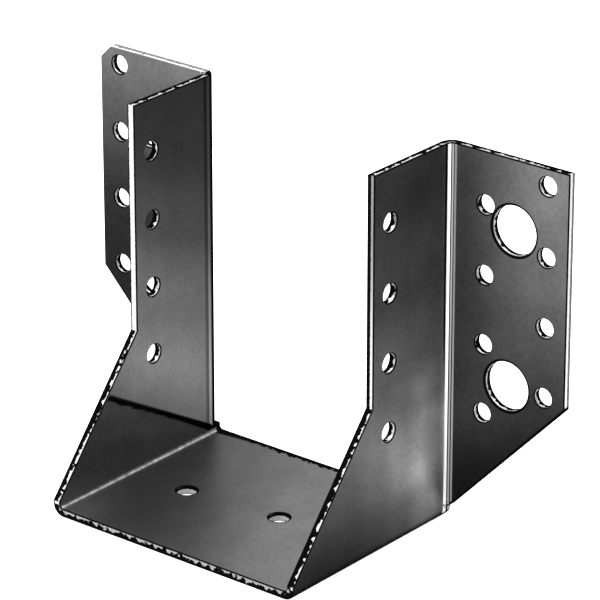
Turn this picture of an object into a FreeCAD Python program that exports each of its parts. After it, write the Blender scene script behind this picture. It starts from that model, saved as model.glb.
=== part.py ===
import FreeCAD, Part
import math
import os
import Sketcher

# A joist hanger folded from one blank of galvanised sheet steel. The joist end drops between two side
# plates onto a seat plate, and a flange bent outward at the back of each side plate lies on the header.
# +X points to the right flange, +Y back to the header and +Z up. The origin is the centre of the
# footprint, on the underside of the seat. Millimetres.

SIZES = {
    "sheet_thickness": 2.5,
    "seat_bend_radius": 1.0,
    "flange_bend_radius": 1.5,
    # Rounded rims of the sheared outline, and the break round each punched hole.
    "rim_radius": 0.4,
    "hole_break": 0.3,
    # The seat plate and the height of everything that stands on it.
    "seat_width": 80.0,
    "seat_depth": 68.0,
    "hanger_height": 110.0,
    # Side plates: a straight foot above the seat bend, a slanted front edge, then a narrow upright part.
    # Behind, a slit above the foot lets the flange's bend turn outward.
    "foot_rise": 0.8,
    "relief_slit": 0.4,
    "side_top_depth": 35.0,
    "side_break_height": 44.0,
    # Flanges: reach from the inner face of the side plate, and height of the outer edge's lower end.
    "flange_reach": 41.0,
    "flange_low_height": 43.0,
    "corner_cut": 4.0,
    # Nail holes: each column lies this far inside its plate's free edge, and rows repeat down the column.
    "nail_hole_diameter": 5.5,
    "nail_edge_distance": 7.0,
    "nail_top_distance": 5.0,
    "nail_column_spacing": 20.0,
    "nail_pitch": 20.0,
    "nail_rows": 4,
    # Bolt holes, set in from the flange's outer edge and down from its top.
    "bolt_hole_diameter": 14.0,
    "upper_bolt_inset": 17.5,
    "upper_bolt_drop": 20.0,
    "lower_bolt_inset": 19.0,
    "lower_bolt_drop": 65.0,
    # Seat holes, to each side of the middle and forward of the back edge.
    "left_seat_hole_offset": 20.5,
    "left_seat_hole_setback": 37.5,
    "right_seat_hole_offset": 10.0,
    "right_seat_hole_setback": 34.5,
}

# Places that follow from the sizes, as expressions.
THICKNESS = "sizes.sheet_thickness"
SEAT_INNER_RADIUS = "sizes.seat_bend_radius"
SEAT_OUTER_RADIUS = "(sizes.seat_bend_radius + sizes.sheet_thickness)"
FLANGE_INNER_RADIUS = "sizes.flange_bend_radius"
FLANGE_OUTER_RADIUS = "(sizes.flange_bend_radius + sizes.sheet_thickness)"
TOP = "sizes.hanger_height"
BACK = "sizes.seat_depth / 2"
FRONT = "-sizes.seat_depth / 2"
INNER_FACE = "sizes.seat_width / 2"
OUTER_FACE = "(sizes.seat_width / 2 + sizes.sheet_thickness)"
FLANGE_EDGE = "(sizes.seat_width / 2 + sizes.flange_reach)"
FOOT_TOP = f"({SEAT_OUTER_RADIUS} + sizes.foot_rise)"
FLANGE_FOOT = f"({FOOT_TOP} + sizes.relief_slit)"
FLANGE_FRONT = f"({BACK} - {THICKNESS})"
FLANGE_BEND_START = f"({BACK} - {FLANGE_OUTER_RADIUS})"
FLANGE_BEND_END = f"({OUTER_FACE} + {FLANGE_INNER_RADIUS})"
SIDE_FRONT = f"({BACK} - sizes.side_top_depth)"
OUTER_COLUMN = f"({FLANGE_EDGE} - sizes.nail_edge_distance)"
INNER_COLUMN = f"({OUTER_COLUMN} - sizes.nail_column_spacing)"
SIDE_COLUMN = f"({SIDE_FRONT} + sizes.nail_edge_distance)"
UPPER_ROW = f"({TOP} - sizes.nail_top_distance)"
STAGGERED_ROW = f"({UPPER_ROW} - sizes.nail_pitch / 2)"

# Numbers that a sketch gives its own axes, and the places on a line, an arc or a circle.
ORIGIN_POINT = (-1, 1)
AXIS_ALONG_X = -1
AXIS_ALONG_Y = -2
START, END, CENTRE = range(1, 4)
SAME_PLACE = 1e-6
SMOOTH_JOINT = math.radians(20)


def make_sizes(document):
    sheet = document.addObject("Spreadsheet::Sheet", "sizes")
    for row, (alias, size) in enumerate(SIZES.items(), start=1):
        sheet.set(f"A{row}", alias)
        sheet.set(f"B{row}", str(size))
        sheet.setAlias(f"B{row}", alias)
    document.recompute()
    return sheet


def number(document, expression):
    return float(document.sizes.evalExpression(expression))


def origin_feature(body, role):
    return next(item for item in body.Origin.OriginFeatures if item.Role == role)


def new_sketch(body, name, plane, lift=None):
    sketch = body.newObject("Sketcher::SketchObject", name)
    sketch.AttachmentSupport = [(origin_feature(body, plane), "")]
    sketch.MapMode = "FlatFace"
    if lift:
        sketch.setExpression("AttachmentOffset.Base.z", lift)
    return sketch


def bind_size(sketch, kind, place, expression):
    size = number(sketch.Document, expression)
    index = sketch.addConstraint(Sketcher.Constraint(kind, *place, size))
    sketch.setExpression(f"Constraints[{index}]", expression)


def bind_coordinate(sketch, kind, point, expression):
    """Hold one coordinate of a sketch point at an expression, on either side of the origin."""
    coordinate = number(sketch.Document, expression)
    if abs(coordinate) < SAME_PLACE:
        axis = AXIS_ALONG_Y if kind == "DistanceX" else AXIS_ALONG_X
        sketch.addConstraint(Sketcher.Constraint("PointOnObject", *point, axis))
    elif coordinate > 0:
        bind_size(sketch, kind, (*ORIGIN_POINT, *point), expression)
    else:
        bind_size(sketch, kind, (*point, *ORIGIN_POINT), f"-({expression})")


def add_circle(sketch, across, along, diameter):
    centre = FreeCAD.Vector(number(sketch.Document, across), number(sketch.Document, along))
    radius = number(sketch.Document, diameter) / 2
    circle = sketch.addGeometry(Part.Circle(centre, FreeCAD.Vector(0, 0, 1), radius))
    bind_coordinate(sketch, "DistanceX", (circle, CENTRE), across)
    bind_coordinate(sketch, "DistanceY", (circle, CENTRE), along)
    bind_size(sketch, "Diameter", (circle,), diameter)


def corner_arc(before, corner, after, radius):
    """Arc that rounds a corner: its two tangent points, the arc and which of its ends comes first."""
    into = (corner - before).normalize()
    out = (after - corner).normalize()
    turn = math.atan2(into.x * out.y - into.y * out.x, into.dot(out))
    trim = radius * math.tan(abs(turn) / 2)
    first = corner - into * trim
    last = corner + out * trim
    side = math.copysign(1, turn)
    centre = first + FreeCAD.Vector(-into.y, into.x) * radius * side
    middle = centre + (corner - centre).normalize() * radius
    arc = Part.Arc(first, middle, last)
    return first, last, arc, (START if turn > 0 else END)


def add_outline(sketch, corners):
    """Closed outline through corners given as expressions (across, along, radius or None)."""
    points = [FreeCAD.Vector(number(sketch.Document, across), number(sketch.Document, along))
              for across, along, _ in corners]
    arcs = {}
    for index, (_, _, radius) in enumerate(corners):
        if radius:
            neighbours = points[index - 1], points[index], points[(index + 1) % len(points)]
            arcs[index] = corner_arc(*neighbours, number(sketch.Document, radius))
    lines = []
    for index, point in enumerate(points):
        following = (index + 1) % len(points)
        line_start = arcs[index][1] if index in arcs else point
        line_end = arcs[following][0] if following in arcs else points[following]
        lines.append(sketch.addGeometry(Part.LineSegment(line_start, line_end)))
    for index, (across, along, radius) in enumerate(corners):
        line_in, line_out = lines[index - 1], lines[index]
        if radius:
            arc = sketch.addGeometry(arcs[index][2])
            first_end = arcs[index][3]
            last_end = START + END - first_end
            sketch.addConstraint(Sketcher.Constraint("Tangent", line_in, END, arc, first_end))
            sketch.addConstraint(Sketcher.Constraint("Tangent", line_out, START, arc, last_end))
            bind_size(sketch, "Radius", (arc,), radius)
        else:
            sketch.addConstraint(Sketcher.Constraint("Coincident", line_in, END, line_out, START))
            bind_coordinate(sketch, "DistanceX", (line_out, START), across)
            bind_coordinate(sketch, "DistanceY", (line_out, START), along)
    for index, line in enumerate(lines):
        rounded_ends = [end for end in (index, (index + 1) % len(points)) if end in arcs]
        if rounded_ends:
            hold_straight_line(sketch, line, corners[index], points, index, len(rounded_ends))


def hold_straight_line(sketch, line, corner, points, index, rounded_ends):
    """Keep a line with a rounded end upright or level, and in its place if both ends are rounded."""
    following = points[(index + 1) % len(points)]
    upright = abs(following.x - points[index].x) < SAME_PLACE
    sketch.addConstraint(Sketcher.Constraint("Vertical" if upright else "Horizontal", line))
    if rounded_ends == 2:
        kind, expression = ("DistanceX", corner[0]) if upright else ("DistanceY", corner[1])
        bind_coordinate(sketch, kind, (line, START), expression)


def add_pad(body, sketch, name, length):
    pad = body.newObject("PartDesign::Pad", name)
    pad.Profile = sketch
    pad.setExpression("Length", length)
    return pad


def add_through_cut(body, sketch, name):
    """Pocket that runs both ways out of its sketch plane."""
    pocket = body.newObject("PartDesign::Pocket", name)
    pocket.Profile = sketch
    pocket.Type = "ThroughAll"
    pocket.Midplane = True
    return pocket


def mirrored(expression, side):
    return expression if side > 0 else f"-({expression})"


def add_seat(body):
    """Seat plate and its two bends, up to the top of the side plates' feet."""
    section = new_sketch(body, "seat_section", "XZ_Plane", f"-({BACK})")
    add_outline(section, [
        (f"-{OUTER_FACE}", FOOT_TOP, None),
        (f"-{OUTER_FACE}", "0", SEAT_OUTER_RADIUS),
        (OUTER_FACE, "0", SEAT_OUTER_RADIUS),
        (OUTER_FACE, FOOT_TOP, None),
        (INNER_FACE, FOOT_TOP, None),
        (INNER_FACE, THICKNESS, SEAT_INNER_RADIUS),
        (f"-{INNER_FACE}", THICKNESS, SEAT_INNER_RADIUS),
        (f"-{INNER_FACE}", FOOT_TOP, None),
    ])
    add_pad(body, section, "seat", "sizes.seat_depth")


def add_sides_and_flanges(body):
    """Side plates with the flanges bent outward at their back, as one upright section on each side."""
    section = new_sketch(body, "side_section", "XY_Plane", FOOT_TOP)
    for side in (1, -1):
        add_outline(section, [
            (mirrored(INNER_FACE, side), FRONT, None),
            (mirrored(OUTER_FACE, side), FRONT, None),
            (mirrored(OUTER_FACE, side), FLANGE_FRONT, FLANGE_INNER_RADIUS),
            (mirrored(FLANGE_EDGE, side), FLANGE_FRONT, None),
            (mirrored(FLANGE_EDGE, side), BACK, None),
            (mirrored(INNER_FACE, side), BACK, FLANGE_OUTER_RADIUS),
        ])
    add_pad(body, section, "sides_and_flanges", f"{TOP} - {FOOT_TOP}")


def cut_side_fronts(body):
    """Slanted front edge from the seat up to the break, then the upright edge to the top."""
    waste = new_sketch(body, "side_front_waste", "YZ_Plane")
    add_outline(waste, [
        (FRONT, FOOT_TOP, None),
        (SIDE_FRONT, "sizes.side_break_height", None),
        (SIDE_FRONT, f"{TOP} + {THICKNESS}", None),
        (f"{FRONT} - {THICKNESS}", f"{TOP} + {THICKNESS}", None),
        (f"{FRONT} - {THICKNESS}", FOOT_TOP, None),
    ])
    add_through_cut(body, waste, "side_front_cut")


def cut_relief_slits(body):
    """Slit between the foot of each side plate and the foot of the flange's bend."""
    waste = new_sketch(body, "relief_slit_waste", "YZ_Plane")
    add_outline(waste, [
        (FLANGE_BEND_START, FOOT_TOP, None),
        (f"{BACK} + {THICKNESS}", FOOT_TOP, None),
        (f"{BACK} + {THICKNESS}", FLANGE_FOOT, None),
        (FLANGE_BEND_START, FLANGE_FOOT, None),
    ])
    add_through_cut(body, waste, "relief_slit_cut")


def cut_flange_feet(body):
    """Slanted lower edge of each flange, from the foot of its bend to the outer edge."""
    waste = new_sketch(body, "flange_foot_waste", "XZ_Plane")
    for side in (1, -1):
        add_outline(waste, [
            (mirrored(FLANGE_BEND_END, side), "0", None),
            (mirrored(FLANGE_BEND_END, side), FLANGE_FOOT, None),
            (mirrored(FLANGE_EDGE, side), "sizes.flange_low_height", None),
            (mirrored(f"({FLANGE_EDGE} + {THICKNESS})", side), "sizes.flange_low_height", None),
            (mirrored(f"({FLANGE_EDGE} + {THICKNESS})", side), "0", None),
        ])
    add_through_cut(body, waste, "flange_foot_cut")


def add_nail_columns(body):
    """One staggered pair of columns in each flange and one column in each side plate."""
    flange_nails = new_sketch(body, "flange_nail_circles", "XZ_Plane")
    for side in (1, -1):
        add_circle(flange_nails, mirrored(OUTER_COLUMN, side), UPPER_ROW, "sizes.nail_hole_diameter")
        add_circle(flange_nails, mirrored(INNER_COLUMN, side), STAGGERED_ROW, "sizes.nail_hole_diameter")
    side_nails = new_sketch(body, "side_nail_circle", "YZ_Plane")
    add_circle(side_nails, SIDE_COLUMN, STAGGERED_ROW, "sizes.nail_hole_diameter")
    first_rows = [
        add_through_cut(body, flange_nails, "flange_nail_row"),
        add_through_cut(body, side_nails, "side_nail_row"),
    ]
    columns = body.newObject("PartDesign::LinearPattern", "nail_columns")
    columns.Originals = first_rows
    columns.Direction = (origin_feature(body, "Z_Axis"), [""])
    columns.Reversed = True
    columns.setExpression("Length", "sizes.nail_pitch * (sizes.nail_rows - 1)")
    columns.setExpression("Occurrences", "sizes.nail_rows")
    body.Tip = columns


def add_bolt_holes(body):
    circles = new_sketch(body, "bolt_circles", "XZ_Plane")
    for side in (1, -1):
        for row in ("upper", "lower"):
            across = mirrored(f"({FLANGE_EDGE} - sizes.{row}_bolt_inset)", side)
            add_circle(circles, across, f"{TOP} - sizes.{row}_bolt_drop", "sizes.bolt_hole_diameter")
    add_through_cut(body, circles, "bolt_holes")


def add_seat_holes(body):
    circles = new_sketch(body, "seat_hole_circles", "XY_Plane")
    for name, side in (("right", 1), ("left", -1)):
        across = mirrored(f"sizes.{name}_seat_hole_offset", side)
        along = f"{BACK} - sizes.{name}_seat_hole_setback"
        add_circle(circles, across, along, "sizes.nail_hole_diameter")
    add_through_cut(body, circles, "seat_holes")


def dress_edges(body, kind, name, wanted, size_name, size):
    """Fillet or chamfer every edge of the solid so far that the wanted test picks."""
    body.Document.recompute()
    before = body.Tip
    names = [f"Edge{index}" for index, edge in enumerate(before.Shape.Edges, start=1) if wanted(edge)]
    feature = body.newObject(kind, name)
    feature.Base = (before, names)
    feature.setExpression(size_name, size)


def cut_left_flange_corner(body):
    """Only the left flange has its top outer corner cut off."""
    edge_x = -number(body.Document, FLANGE_EDGE)
    edge_z = number(body.Document, TOP)

    def at_corner(edge):
        return all(abs(end.X - edge_x) < SAME_PLACE and abs(end.Z - edge_z) < SAME_PLACE
                   for end in edge.Vertexes)

    dress_edges(body, "PartDesign::Chamfer", "left_flange_corner", at_corner, "Size", "sizes.corner_cut")


def meets_sharply(shape, edge):
    middle = edge.valueAt((edge.FirstParameter + edge.LastParameter) / 2)
    faces = shape.ancestorsOfType(edge, Part.Face)
    normals = [face.normalAt(*face.Surface.parameter(middle)) for face in faces]
    return normals[0].getAngle(normals[-1]) > SMOOTH_JOINT


def round_rims(body):
    """Both rims of the sheared outline, with the corners across the sheet and the slits left sharp."""
    body.Document.recompute()
    shape = body.Tip.Shape
    thickness = number(body.Document, THICKNESS)
    slit_front = number(body.Document, FLANGE_BEND_START) - SAME_PLACE
    slit_bottom = number(body.Document, FOOT_TOP) - SAME_PLACE
    slit_top = number(body.Document, FLANGE_FOOT) + SAME_PLACE

    def is_rim(edge):
        box = edge.BoundBox
        in_slit = box.YMin > slit_front and box.ZMin > slit_bottom and box.ZMax < slit_top
        across_sheet = abs(edge.Length - thickness) < SAME_PLACE
        return not (edge.isClosed() or in_slit or across_sheet) and meets_sharply(shape, edge)

    dress_edges(body, "PartDesign::Fillet", "rims", is_rim, "Radius", "sizes.rim_radius")


def break_hole_edges(body):
    """Small chamfer round both mouths of every punched hole."""
    def is_mouth(edge):
        return edge.isClosed()

    dress_edges(body, "PartDesign::Chamfer", "hole_edges", is_mouth, "Size", "sizes.hole_break")


def make_hanger(document):
    body = document.addObject("PartDesign::Body", "joist_hanger")
    body.Label = "joist_hanger"
    body.Placement = FreeCAD.Placement()
    add_seat(body)
    add_sides_and_flanges(body)
    cut_side_fronts(body)
    cut_relief_slits(body)
    cut_flange_feet(body)
    document.recompute()
    add_nail_columns(body)
    add_bolt_holes(body)
    add_seat_holes(body)
    cut_left_flange_corner(body)
    round_rims(body)
    break_hole_edges(body)
    document.recompute()
    return body


def check_document(document, bodies):
    for item in document.Objects:
        if "Invalid" in item.State or "Error" in item.State:
            raise RuntimeError(f"{item.Name} failed: {item.State}")
    for body in bodies:
        if body.Shape.isNull() or not body.Shape.isValid() or len(body.Shape.Solids) != 1:
            raise RuntimeError(f"{body.Label} is not one sound solid")


def main():
    document = FreeCAD.newDocument("joist_hanger")
    make_sizes(document)
    bodies = [make_hanger(document)]
    check_document(document, bodies)
    os.makedirs("parts", exist_ok=True)
    for body in bodies:
        body.Shape.exportStep(f"parts/{body.Label}.step")
        print(body.Label, round(body.Shape.Volume, 1), body.Shape.BoundBox)


main()
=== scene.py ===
"""Joist hanger in dark galvanised sheet, on a pale studio floor.

Lengths are in metres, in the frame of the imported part: X runs across the joist, Y runs back
to the header, and Z is up from the floor. A mask is a number from 0 outside to 1 inside.
"""

import math

import bpy
from mathutils import Matrix, Vector


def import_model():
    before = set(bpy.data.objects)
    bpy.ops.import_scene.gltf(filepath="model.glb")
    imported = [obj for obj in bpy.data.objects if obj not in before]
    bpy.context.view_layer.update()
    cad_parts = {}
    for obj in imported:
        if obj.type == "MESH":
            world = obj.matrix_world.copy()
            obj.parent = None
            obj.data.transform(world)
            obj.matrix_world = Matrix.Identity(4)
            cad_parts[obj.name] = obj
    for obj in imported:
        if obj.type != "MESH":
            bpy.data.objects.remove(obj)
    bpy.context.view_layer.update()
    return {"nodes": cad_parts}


NODE = "joist_hanger"

# Photograph
PHOTO_SIDE_PX = 600
FOCAL_LENGTH_PX = 4248.9
SENSOR_WIDTH_MM = 36.0
CAMERA_AZIMUTH = math.radians(39.223)
CAMERA_ELEVATION = math.radians(22.902)
CAMERA_DISTANCE = 1.1526
CAMERA_AIM = Vector((0.0012, 0.0192, 0.0578))
NEAREST_SEEN = 0.05
FURTHEST_SEEN = 50.0

# Sheet
THICKNESS = 0.0025
HALF_WIDTH = 0.0425
HALF_DEPTH = 0.034
SEAT_BEND_X = 0.039
SEAT_BEND_Z = 0.0035
SEAT_BEND_RADIUS = 0.001
FLANGE_BEND_X = 0.044
FLANGE_BEND_Y = 0.030
FLANGE_BEND_RADIUS = 0.0015
FLANGE_FOOT = 0.0047
FLANGE_SLOPE = 1.035
FLANGE_EDGE = 0.081
BELOW_TOP = 0.1095
BOLT_HOLES = ((0.0635, 0.090), (0.062, 0.045))
SEAT_HOLES = ((-0.0205, -0.0035), (0.010, -0.0005))
HAIR = 0.00008

# Noise: scale, detail and roughness
CLOUDS = (90.0, 4.0, 0.6)
GRAIN = (900.0, 3.0, 0.7)
BEADS = (650.0, 1.0, 0.5)

# Rolled zinc with painted shading by height: curves of (height, tone), and the mottling over them
INNER_SHADED_TONES = (
    (0.0, 0.22), (0.018, 0.235), (0.040, 0.235), (0.060, 0.25), (0.090, 0.275), (0.110, 0.285)
)
OUTER_SHADED_TONES = ((0.0, 0.08), (0.035, 0.19), (0.052, 0.19), (0.075, 0.09), (0.110, 0.05))
LEFT_FLANGE_SHADED_TONES = ((0.050, 0.10), (0.065, 0.11), (0.075, 0.16), (0.085, 0.28), (0.110, 0.50))
RIGHT_FLANGE_SHADED_TONES = (
    (0.020, 0.065), (0.040, 0.11), (0.060, 0.185), (0.080, 0.28), (0.110, 0.38)
)
CLOUD_SHARE = 0.6
GRAIN_SHARE = 0.7
EVEN_SHARE = 0.35

# A painted glow of reflected light low on the outer faces, by height and by depth
PAINTED_GLOW_UP = (
    (0.0, 0.16),
    (0.010, 0.28),
    (0.022, 0.90),
    (0.030, 0.90),
    (0.042, 0.38),
    (0.054, 0.08),
    (0.075, 0.03),
    (0.100, 0.0),
)
PAINTED_GLOW_BACK = (
    (-0.012, 0.0), (0.002, 0.11), (0.012, 0.32), (0.022, 0.96), (0.025, 0.96), (0.029, 0.60)
)
LEFT_OUTER_GAIN = 1.6

# Painted shade darkens the right flange towards its bend, and the backs of the flanges are even
NEAR_BEND = (0.046, 0.062)
NEAR_BEND_SHADE_GAIN = 0.62
FLANGE_BACK_TONE = 0.36

# Painted shading lightens the seat across, along lines that slant back, and a painted highlight
# gleams in its left front corner
SEAT_SHADED_TONES = ((-0.028, 0.07), (-0.012, 0.105), (0.0, 0.13), (0.010, 0.167), (0.030, 0.185))
SEAT_SLANT = 0.4
CORNER_X = (-0.024, -0.038)
CORNER_Y = (-0.004, -0.032)
CORNER_GLEAM = 0.09

# Near black, for painted shade
SHADE_BLACK = 0.002

# Painted highlight lines and painted shade in the creases of the flange bends, by the angle that
# the bend has turned
FOLD_PAINTED_TONES = (
    (-0.45, SHADE_BLACK),
    (0.05, SHADE_BLACK),
    (0.16, 0.95),
    (0.68, 0.95),
    (0.78, SHADE_BLACK),
    (0.90, SHADE_BLACK),
    (1.00, 0.42),
    (1.90, 0.42),
)
CREASE_HEIGHTS = (0.025, 0.060)
LOW_CREASE_START = 0.05
HIGH_CREASE_START = -0.55
CREASE_BLUR = 0.10
FOLD_END = (1.90, 1.80)
FOLD_HIGHLIGHT_TONES = (0.05, 0.25)

# Lines of painted shade and painted highlight on the joist's side of the bends
SHADED_Y = (0.0276, 0.0280)
SHADED_GAIN = 0.45
HIGHLIGHT_LINE_Y = (0.0290, 0.0294)
HIGHLIGHT_LINE_END = (0.10, 0.02)
HIGHLIGHT_LINE_TONE = 0.42
TURNED_SHADE_START = (0.05, 0.15)
TURNED_SHADE_END = (0.95, 0.80)
SEAT_CREASE_X = (0.0387, 0.0391)
SEAT_CREASE_HIGHLIGHT_GAIN = 0.40
SEAT_CREASE_HIGHLIGHT_TONE = 0.02

# Width of the near band on cut edges, beside the inner face on the left side and the seat and the
# outer face elsewhere
BEADED_WIDTH = 0.00075
BEADED_SWING = 0.0032
HOLE_WIDTH = 0.0010
HOLE_SWING = 0.0024
SEAT_HOLE_WIDTH = 0.0010
LEFT_UPRIGHT_WIDTH = 0.0020
RIGHT_UPRIGHT_WIDTH = 0.0012
FLANGE_END_WIDTH = 0.0013
SEAT_FRONT_EXTRA = 0.0003
RAGGEDNESS = 0.0004
BAND_EDGE_BLUR = 0.0002

# Where a cut face is a hole's wall, and not an outer edge
SEAT_HOLES_Y = 0.030
SIDE_HOLES_Y = (0.002, 0.012)
WITHIN_SLANT = 0.0025
WITHIN_END = 0.002
WITHIN_TOP = 0.001

# Tones of the near band, mostly a painted highlight, and of the far band, mostly painted shade
NEAR_BAND_TONE = 0.55
BROAD_NEAR_BAND_TONE = 0.90
RIGHT_UPRIGHT_TONES = (0.29, 0.85)
RIGHT_UPRIGHT_HEIGHTS = (0.095, 0.050)
PALE_FAR_BAND_TONE = 0.22
SEAT_HOLE_FAR_BAND_TONE = 0.90

# Dark outlines of painted shade
BACK_RIM_Y = (0.0317, 0.0321)
BACK_RIM_SWING = 0.0030
UNDER_SIDE_Z = (0.0023, 0.0018)
LOWER_RIM = (FLANGE_FOOT + 0.0011, FLANGE_FOOT + 0.0007)
RIM_TURN = (0.10, 0.22)
RIM_DEPTH = (0.00040, 0.00030)
BOLT_RING = 0.0076
SEAT_RING = 0.0033
RING_BLUR = 0.0003

# Gloss
POLISHED_ROUGHNESS = 0.05
SEAT_ROUGHNESS = 0.36
OUTER_ROUGHNESS = (0.36, 0.46)
NEAR_BAND_ROUGHNESS = 0.30
FAR_BAND_ROUGHNESS = 0.80
HIGHLIT_METALLIC = 0.6
METALLIC_TONES = (0.015, 0.028)
BUMP_STRENGTH = 0.08
BUMP_DISTANCE = 0.0001
BOW = 0.064

# Floor and sky
FLOOR_SIDE = 12.0
FLOOR_COLOUR = (0.82, 0.82, 0.81, 1.0)
FLOOR_GLOW = 1.0
SKY_COLOUR = (1.0, 1.0, 1.0, 1.0)
SKY_LEVEL = 2.0
KEY_WATTS = 8.0
KEY_SIDE = 1.1
KEY_PLACE = Vector((-0.35, -0.25, 1.25))

# What the metal mirrors: curves of (depth, level) on the floor and of (height, level) in the sky
FRONT_POOL = ((-0.300, 0.90), (-0.160, 0.75), (-0.100, 0.40), (-0.050, 0.12), (0.0, 0.0))
FRONT_POOL_X = (-0.220, -0.060)
FRONT_POOL_GAINS = (0.4, 1.3)
BACK_POOL = (
    (-0.020, 0.08),
    (0.030, 0.45),
    (0.070, 0.85),
    (0.110, 0.60),
    (0.160, 0.26),
    (0.220, 0.12),
    (0.300, 0.08),
)
BACK_POOL_X = (-0.100, -0.040)
RIGHT_POOL_AXIS = -0.010
RIGHT_POOL_SPREAD = 1.3
RIGHT_POOL_X = (0.060, 0.110)
RIGHT_POOL_LEVEL = 2.4
LEFT_POOL_X = (-0.120, -0.220)
LEFT_POOL_Y = (-0.020, 0.060)
LEFT_POOL_LEVEL = 0.8
SHADOW_BESIDE = (0.001, 0.003)
SHADOW_BEHIND = (0.0046, 0.0056)
SHADOW_FLARE = 0.035
MIRRORED_SKY = ((0.0, 0.35), (0.45, 0.42), (0.65, 2.4), (1.0, 2.4))


def add_camera():
    back = Vector(
        (
            math.sin(CAMERA_AZIMUTH) * math.cos(CAMERA_ELEVATION),
            -math.cos(CAMERA_AZIMUTH) * math.cos(CAMERA_ELEVATION),
            math.sin(CAMERA_ELEVATION),
        )
    )
    right = Vector((math.cos(CAMERA_AZIMUTH), math.sin(CAMERA_AZIMUTH), 0.0))
    up = back.cross(right)
    lens = bpy.data.cameras.new("photo_camera")
    lens.sensor_fit = "HORIZONTAL"
    lens.sensor_width = SENSOR_WIDTH_MM
    lens.lens = FOCAL_LENGTH_PX * SENSOR_WIDTH_MM / PHOTO_SIDE_PX
    lens.clip_start = NEAREST_SEEN
    lens.clip_end = FURTHEST_SEEN
    camera = bpy.data.objects.new("photo_camera", lens)
    turned = Matrix((right, up, back)).transposed().to_4x4()
    camera.matrix_world = Matrix.Translation(CAMERA_AIM + back * CAMERA_DISTANCE) @ turned
    bpy.context.scene.collection.objects.link(camera)
    bpy.context.scene.camera = camera


class Nodes:
    """A node tree that is written down as short calls."""

    def __init__(self, tree):
        self.tree = tree
        tree.nodes.clear()

    def add(self, kind, **settings):
        node = self.tree.nodes.new(kind)
        for name, value in settings.items():
            setattr(node, name, value)
        return node

    def plug(self, socket, value):
        if isinstance(value, bpy.types.NodeSocket):
            self.tree.links.new(value, socket)
        else:
            socket.default_value = value

    def fill(self, node, *values):
        """Plugs the values into the node's first sockets."""
        for socket, value in zip(node.inputs, values):
            self.plug(socket, value)
        return node.outputs[0]

    def feed(self, kind, **values):
        """Adds a node and plugs the values into the sockets of those names."""
        node = self.add(kind)
        for name, value in values.items():
            self.plug(node.inputs[name.replace("_", " ")], value)
        return node.outputs[0]

    def split(self, vector):
        node = self.add("ShaderNodeSeparateXYZ")
        self.fill(node, vector)
        return tuple(node.outputs)

    def math(self, operation, *values):
        return self.fill(self.add("ShaderNodeMath", operation=operation), *values)

    def minus(self, value, other):
        return self.math("SUBTRACT", value, other)

    def under(self, value, limit):
        return self.math("LESS_THAN", value, limit)

    def over(self, value, limit):
        return self.math("GREATER_THAN", value, limit)

    def product(self, first, *rest):
        for value in rest:
            first = self.math("MULTIPLY", first, value)
        return first

    def most(self, first, *rest):
        for value in rest:
            first = self.math("MAXIMUM", first, value)
        return first

    def inverse(self, mask):
        return self.minus(1.0, mask)

    def scaled(self, value, gain, base):
        return self.math("MULTIPLY_ADD", value, gain, base)

    def swinging(self, noise, swing, middle):
        return self.scaled(self.minus(noise, 0.5), swing, middle)

    def blend(self, share, low, high):
        """low where share is 0, high where it is 1."""
        return self.scaled(self.minus(high, low), share, low)

    def step(self, value, low, high):
        """0 up to low and 1 from high on, smooth between them."""
        node = self.add("ShaderNodeMapRange", interpolation_type="SMOOTHSTEP")
        return self.fill(node, value, low, high, 0.0, 1.0)

    def curve(self, value, stops):
        """A curve through stops of (value, result), level outside them."""
        first, last = stops[0][0], stops[-1][0]
        ramp = self.add("ShaderNodeValToRGB")
        ramp.color_ramp.interpolation = "EASE"
        elements = ramp.color_ramp.elements
        for place, _ in stops[1:-1]:
            elements.new((place - first) / (last - first))
        for element, (place, level) in zip(elements, stops):
            element.position = (place - first) / (last - first)
            element.color = (level, level, level, 1.0)
        share = self.fill(self.add("ShaderNodeMapRange"), value, first, last, 0.0, 1.0)
        return self.fill(ramp, share)

    def noise(self, place, scale, detail, roughness):
        return self.feed(
            "ShaderNodeTexNoise", Vector=place, Scale=scale, Detail=detail, Roughness=roughness
        )

    def finish(self, kind, shader):
        self.plug(self.add(kind).inputs["Surface"], shader)


def length(n, across, along):
    squares = (n.math("MULTIPLY", side, side) for side in (across, along))
    return n.math("SQRT", n.math("ADD", *squares))


def ring(n, across, along, centres, radius):
    """A mask of the discs round the centres."""
    apart = (length(n, n.minus(across, first), n.minus(along, second)) for first, second in centres)
    return n.step(n.math("MINIMUM", *apart), radius + RING_BLUR, radius)


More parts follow.
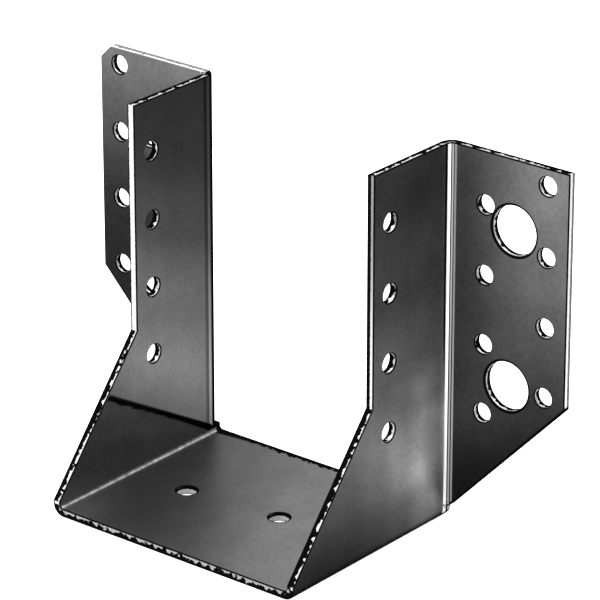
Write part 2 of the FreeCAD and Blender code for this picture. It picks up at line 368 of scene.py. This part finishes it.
class Sheet:
    """Where on the folded sheet a point is: coordinates, masks and noise."""

    def __init__(self, n):
        coordinates = n.add("ShaderNodeTexCoord")
        place = coordinates.outputs["Object"]
        self.x, self.y, self.z = n.split(place)
        self.side = n.math("ABSOLUTE", self.x)
        self.left = n.under(self.x, 0.0)
        self.low = n.under(self.z, SEAT_BEND_Z)
        self.inner = n.under(self.side, HALF_WIDTH - THICKNESS + HAIR)
        self.on_flange = n.product(
            n.over(self.y, FLANGE_BEND_Y + FLANGE_BEND_RADIUS - HAIR), n.over(self.side, HALF_WIDTH)
        )
        self.on_seat = n.product(self.low, self.inner)
        self.left_top = n.product(self.left, self.on_flange, n.over(self.z, BELOW_TOP))
        self.above_slant = n.scaled(n.minus(self.side, FLANGE_BEND_X), -FLANGE_SLOPE, self.z)
        self.turn = n.math(
            "ARCTAN2", n.minus(self.y, FLANGE_BEND_Y), n.minus(FLANGE_BEND_X, self.side)
        )

        self.depth = self.find_depth(n)
        self.on_face = n.step(self.depth, 2 * HAIR, HAIR)
        self.on_back = n.step(self.depth, THICKNESS - 2 * HAIR, THICKNESS - HAIR)

        facing = n.split(coordinates.outputs["Normal"])
        self.front = n.under(facing[1], -0.9)
        self.turned = self.find_turned(n, facing)

        self.clouds = n.noise(place, *CLOUDS)
        self.grain = n.noise(place, *GRAIN)
        self.beads = n.noise(place, *BEADS)

    def find_depth(self, n):
        """How far a point lies from the outer face of the sheet, through both kinds of bend."""
        across = n.math("MINIMUM", n.minus(self.side, FLANGE_BEND_X), 0.0)
        along = n.math("MAXIMUM", n.minus(self.y, FLANGE_BEND_Y), 0.0)
        in_flange = n.minus(length(n, across, along), FLANGE_BEND_RADIUS)
        out = n.math("MAXIMUM", n.minus(self.side, SEAT_BEND_X), 0.0)
        down = n.math("MINIMUM", n.minus(self.z, SEAT_BEND_Z), 0.0)
        in_seat = n.minus(THICKNESS + SEAT_BEND_RADIUS, length(n, out, down))
        return n.blend(n.over(self.z, SEAT_BEND_Z), in_seat, in_flange)

    def find_turned(self, n, facing):
        """How far the surface turns away from the plane of its part of the sheet."""
        across_x, across_y, across_z = (n.math("ABSOLUTE", part) for part in facing)
        in_plate = n.product(across_y, n.under(self.y, FLANGE_BEND_Y))
        turned = n.most(across_z, in_plate, n.product(across_x, self.on_flange))
        return n.blend(self.low, turned, across_y)


def zinc_tone_and_painted_shade(n, sheet):
    """Tone of the rolled zinc, face by face, with painted shading, a painted glow and a painted
    highlight over its mottling.
    """
    # A painted glow of reflected light low on the outer faces
    painted_glow = n.product(n.curve(sheet.z, PAINTED_GLOW_UP), n.curve(sheet.y, PAINTED_GLOW_BACK))
    outer = n.math("ADD", n.curve(sheet.z, OUTER_SHADED_TONES), painted_glow)
    outer = n.product(outer, n.blend(sheet.left, 1.0, LEFT_OUTER_GAIN))
    across_seat = n.scaled(sheet.y, SEAT_SLANT, sheet.x)
    # A painted highlight in the seat's left front corner
    corner = n.product(n.step(sheet.x, *CORNER_X), n.step(sheet.y, *CORNER_Y))
    seat = n.scaled(corner, CORNER_GLEAM, n.curve(across_seat, SEAT_SHADED_TONES))
    left_flange = n.curve(sheet.z, LEFT_FLANGE_SHADED_TONES)
    # Painted shade darkens the right flange towards its bend
    right_flange = n.product(
        n.curve(sheet.z, RIGHT_FLANGE_SHADED_TONES),
        n.blend(n.step(sheet.side, *NEAR_BEND), NEAR_BEND_SHADE_GAIN, 1.0),
    )
    inner = n.blend(sheet.on_seat, n.curve(sheet.z, INNER_SHADED_TONES), seat)
    tone = n.blend(sheet.inner, outer, inner)
    tone = n.blend(sheet.on_flange, tone, n.blend(sheet.left, right_flange, left_flange))
    flange_back = n.product(sheet.on_flange, n.over(sheet.y, HALF_DEPTH - HAIR))
    tone = n.blend(flange_back, tone, FLANGE_BACK_TONE)
    mottle = n.scaled(sheet.clouds, CLOUD_SHARE, n.scaled(sheet.grain, GRAIN_SHARE, EVEN_SHARE))
    return n.product(tone, mottle)


def paint_fold_lines(n, sheet, tone):
    """Each flange's bend gets a painted highlight line, a fainter one and painted shade in its
    creases.
    """
    fold_tone = n.curve(sheet.turn, FOLD_PAINTED_TONES)
    start = n.blend(n.step(sheet.z, *CREASE_HEIGHTS), LOW_CREASE_START, HIGH_CREASE_START)
    fold = n.product(
        n.step(sheet.turn, start, n.math("ADD", start, CREASE_BLUR)),
        n.step(sheet.turn, *FOLD_END),
        sheet.on_face,
    )
    fold_highlight = n.product(fold, n.step(fold_tone, *FOLD_HIGHLIGHT_TONES))
    return n.blend(fold, tone, fold_tone), fold_highlight


def paint_joist_side_lines(n, sheet, tone):
    """On the joist's side each flange's bend has painted shade, behind a painted highlight line and
    a shaded one, and the seat's crease has a beaded painted highlight.
    """
    upper_back = n.product(sheet.on_back, n.inverse(sheet.low))
    shaded = n.product(upper_back, n.step(sheet.y, *SHADED_Y))
    highlight_line = n.product(upper_back, n.step(sheet.y, *HIGHLIGHT_LINE_Y), n.step(sheet.turn, *HIGHLIGHT_LINE_END))
    turned_shade = n.product(
        sheet.on_back, n.step(sheet.turn, *TURNED_SHADE_START), n.step(sheet.turn, *TURNED_SHADE_END)
    )
    tone = n.blend(shaded, tone, n.product(tone, SHADED_GAIN))
    tone = n.blend(highlight_line, tone, HIGHLIGHT_LINE_TONE)
    tone = n.blend(turned_shade, tone, SHADE_BLACK)
    seat_crease = n.product(sheet.on_back, n.step(sheet.side, *SEAT_CREASE_X), sheet.low)
    return n.blend(seat_crease, tone, n.scaled(sheet.beads, SEAT_CREASE_HIGHLIGHT_GAIN, SEAT_CREASE_HIGHLIGHT_TONE))


def cut_edges(n, sheet, tone, rough):
    """Cut edges mostly have a painted highlight in a band beside one face, and painted shade in the
    band beyond it.
    """
    on_cut = n.product(
        n.step(sheet.depth, HAIR, 3 * HAIR),
        n.step(sheet.depth, THICKNESS - HAIR, THICKNESS - 3 * HAIR),
    )
    left_side = n.product(sheet.left, n.under(sheet.y, FLANGE_BEND_Y))
    near_face_inside = n.most(left_side, sheet.low)
    from_near_face = n.blend(near_face_inside, sheet.depth, n.minus(THICKNESS, sheet.depth))

    upright = n.product(sheet.front, n.over(sheet.z, SEAT_BEND_Z))
    flange_end = n.over(sheet.side, FLANGE_EDGE - 5 * HAIR)
    broad = n.most(upright, flange_end)
    seat_hole = n.product(sheet.on_seat, n.under(n.math("ABSOLUTE", sheet.y), SEAT_HOLES_Y))
    in_flange = n.product(
        sheet.on_flange,
        n.over(sheet.above_slant, FLANGE_FOOT + WITHIN_SLANT),
        n.under(sheet.side, FLANGE_EDGE - WITHIN_END),
    )
    first_y, last_y = SIDE_HOLES_Y
    in_side = n.product(n.over(sheet.y, first_y), n.under(sheet.y, last_y))
    hole = n.product(
        n.most(in_flange, in_side), n.inverse(sheet.low), n.under(sheet.z, BELOW_TOP - WITHIN_TOP)
    )

    upright_width = n.blend(sheet.left, RIGHT_UPRIGHT_WIDTH, LEFT_UPRIGHT_WIDTH)
    width = n.swinging(sheet.beads, BEADED_SWING, BEADED_WIDTH)
    width = n.blend(broad, width, n.blend(flange_end, upright_width, FLANGE_END_WIDTH))
    width = n.scaled(n.product(sheet.front, sheet.low), SEAT_FRONT_EXTRA, width)
    width = n.blend(seat_hole, width, SEAT_HOLE_WIDTH)
    width = n.blend(hole, width, n.swinging(sheet.beads, HOLE_SWING, HOLE_WIDTH))
    ragged = n.scaled(sheet.grain, RAGGEDNESS, from_near_face)
    far_band = n.step(ragged, width, n.math("ADD", width, BAND_EDGE_BLUR))

    right_upright = n.product(upright, n.inverse(sheet.left))
    upright_tone = n.blend(n.step(sheet.z, *RIGHT_UPRIGHT_HEIGHTS), *RIGHT_UPRIGHT_TONES)
    near_tone = n.blend(broad, NEAR_BAND_TONE, BROAD_NEAR_BAND_TONE)
    near_tone = n.blend(right_upright, near_tone, upright_tone)
    far_tone = n.blend(n.most(sheet.left_top, flange_end), SHADE_BLACK, PALE_FAR_BAND_TONE)
    # Inside the seat's holes the near band is painted shade, and the lower part catches painted
    # light from the floor
    near_tone = n.blend(seat_hole, near_tone, SHADE_BLACK)
    far_tone = n.blend(seat_hole, far_tone, SEAT_HOLE_FAR_BAND_TONE)

    tone = n.blend(on_cut, tone, n.blend(far_band, near_tone, far_tone))
    rough = n.blend(on_cut, rough, n.blend(far_band, NEAR_BAND_ROUGHNESS, FAR_BAND_ROUGHNESS))
    return tone, rough, n.product(on_cut, n.inverse(far_band))


def painted_shade_outline(n, sheet):
    """A mask of painted shade: the seat's back rim, all low rims, the rounded rims and rings round
    holes.
    """
    ragged_y = n.swinging(sheet.beads, BACK_RIM_SWING, sheet.y)
    back_rim = n.product(sheet.on_seat, n.step(ragged_y, *BACK_RIM_Y))
    under_side = n.product(sheet.on_face, n.step(sheet.z, *UNDER_SIDE_Z))
    lower_rim = n.product(sheet.on_flange, n.step(sheet.above_slant, *LOWER_RIM))
    rim_depth = n.math("MINIMUM", sheet.depth, n.minus(THICKNESS, sheet.depth))
    rounded_rim = n.product(
        n.step(sheet.turned, *RIM_TURN), n.step(rim_depth, *RIM_DEPTH), n.inverse(sheet.left_top)
    )
    bolt_ring = n.product(
        ring(n, sheet.side, sheet.z, BOLT_HOLES, BOLT_RING),
        sheet.on_flange,
        sheet.on_face,
        n.inverse(sheet.left),
    )
    seat_ring = n.product(
        ring(n, sheet.x, sheet.y, SEAT_HOLES, SEAT_RING), sheet.on_seat, sheet.on_back
    )
    return n.most(back_rim, under_side, lower_rim, rounded_rim, bolt_ring, seat_ring)


def make_sheet_material():
    material = bpy.data.materials.new("galvanised_steel")
    material.use_nodes = True
    n = Nodes(material.node_tree)
    sheet = Sheet(n)
    # The joist's faces are polished, the seat is duller
    rough = n.blend(
        sheet.inner,
        n.blend(sheet.grain, *OUTER_ROUGHNESS),
        n.blend(sheet.low, POLISHED_ROUGHNESS, SEAT_ROUGHNESS),
    )
    tone = zinc_tone_and_painted_shade(n, sheet)
    tone, fold_highlight = paint_fold_lines(n, sheet, tone)
    tone = paint_joist_side_lines(n, sheet, tone)
    tone, rough, near_band = cut_edges(n, sheet, tone, rough)
    # The outlines of painted shade go near black
    outline = painted_shade_outline(n, sheet)
    tone = n.blend(outline, tone, SHADE_BLACK)
    # Fold lines and near bands with painted highlights, outside the painted shade outlines, are
    # less metallic
    highlit = n.product(n.most(fold_highlight, near_band), n.inverse(outline))

    colour = n.feed("ShaderNodeCombineColor", Red=tone, Green=tone, Blue=tone)
    bump = n.feed(
        "ShaderNodeBump", Strength=BUMP_STRENGTH, Distance=BUMP_DISTANCE, Height=sheet.clouds
    )
    # The polished faces bow a little, which turns what they mirror
    polished = n.product(sheet.inner, n.inverse(sheet.low), sheet.on_back)
    bow = n.feed("ShaderNodeCombineXYZ", Y=n.product(polished, BOW))
    bowed = n.fill(n.add("ShaderNodeVectorMath", operation="ADD"), bump, bow)
    shader = n.feed(
        "ShaderNodeBsdfPrincipled",
        Base_Color=colour,
        Metallic=n.product(n.blend(highlit, 1.0, HIGHLIT_METALLIC), n.step(tone, *METALLIC_TONES)),
        Specular_IOR_Level=0.0,
        Roughness=rough,
        Normal=bowed,
    )
    n.finish("ShaderNodeOutputMaterial", shader)
    return material


def glossy_ray(n):
    return n.add("ShaderNodeLightPath").outputs["Is Glossy Ray"]


def mirrored_floor(n):
    """The floor as the metal sees it: pools of light on all four sides of a dark footprint."""
    x, y = n.split(n.add("ShaderNodeNewGeometry").outputs["Position"])[:2]
    front = n.product(
        n.curve(y, FRONT_POOL), n.blend(n.step(x, *FRONT_POOL_X), *FRONT_POOL_GAINS)
    )
    back = n.product(n.curve(y, BACK_POOL), n.step(x, *BACK_POOL_X))
    off_axis = n.math("ABSOLUTE", n.minus(y, RIGHT_POOL_AXIS))
    wedge = n.scaled(off_axis, -RIGHT_POOL_SPREAD, x)
    right = n.product(n.step(wedge, *RIGHT_POOL_X), RIGHT_POOL_LEVEL)
    left = n.product(n.step(x, *LEFT_POOL_X), n.step(y, *LEFT_POOL_Y), LEFT_POOL_LEVEL)
    glow = front
    for pool in (back, right, left):
        glow = n.math("ADD", glow, pool)
    beyond_x = n.minus(n.math("ABSOLUTE", x), HALF_WIDTH)
    beyond_y = n.minus(n.math("ABSOLUTE", y), HALF_DEPTH)
    beyond_y = n.scaled(n.math("ADD", x, HALF_WIDTH), -SHADOW_FLARE, beyond_y)
    lit = n.most(n.step(beyond_x, *SHADOW_BESIDE), n.step(beyond_y, *SHADOW_BEHIND))
    return n.product(glow, lit)


def add_floor():
    half = FLOOR_SIDE / 2
    mesh = bpy.data.meshes.new("studio_floor")
    corners = [(-half, -half, 0), (half, -half, 0), (half, half, 0), (-half, half, 0)]
    mesh.from_pydata(corners, [], [(0, 1, 2, 3)])
    floor = bpy.data.objects.new("studio_floor", mesh)
    bpy.context.scene.collection.objects.link(floor)
    material = bpy.data.materials.new("pale_floor")
    material.use_nodes = True
    n = Nodes(material.node_tree)
    matt = n.feed("ShaderNodeBsdfDiffuse", Color=FLOOR_COLOUR)
    lit = n.feed("ShaderNodeEmission", Color=FLOOR_COLOUR, Strength=FLOOR_GLOW)
    paint = n.fill(n.add("ShaderNodeAddShader"), matt, lit)
    mirrored = n.feed("ShaderNodeEmission", Strength=mirrored_floor(n))
    both = n.fill(n.add("ShaderNodeMixShader"), glossy_ray(n), paint, mirrored)
    n.finish("ShaderNodeOutputMaterial", both)
    mesh.materials.append(material)


def add_sky():
    world = bpy.data.worlds.new("studio")
    world.use_nodes = True
    n = Nodes(world.node_tree)
    height = n.split(n.add("ShaderNodeTexCoord").outputs["Generated"])[2]
    level = n.blend(glossy_ray(n), SKY_LEVEL, n.curve(height, MIRRORED_SKY))
    sky = n.feed("ShaderNodeBackground", Color=SKY_COLOUR, Strength=level)
    n.finish("ShaderNodeOutputWorld", sky)
    bpy.context.scene.world = world


def add_lamp():
    lamp = bpy.data.lights.new("key_light", "AREA")
    lamp.energy = KEY_WATTS
    lamp.size = KEY_SIDE
    key = bpy.data.objects.new("key_light", lamp)
    key.location = KEY_PLACE
    key.rotation_euler = (-KEY_PLACE).to_track_quat("-Z", "Y").to_euler()
    bpy.context.scene.collection.objects.link(key)


def main():
    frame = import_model()
    node = frame["nodes"][NODE]
    node.data.materials.clear()
    node.data.materials.append(make_sheet_material())
    for face in node.data.polygons:
        face.material_index = 0
    add_camera()
    add_floor()
    add_sky()
    add_lamp()
    bpy.context.scene.view_settings.view_transform = "Standard"


main()
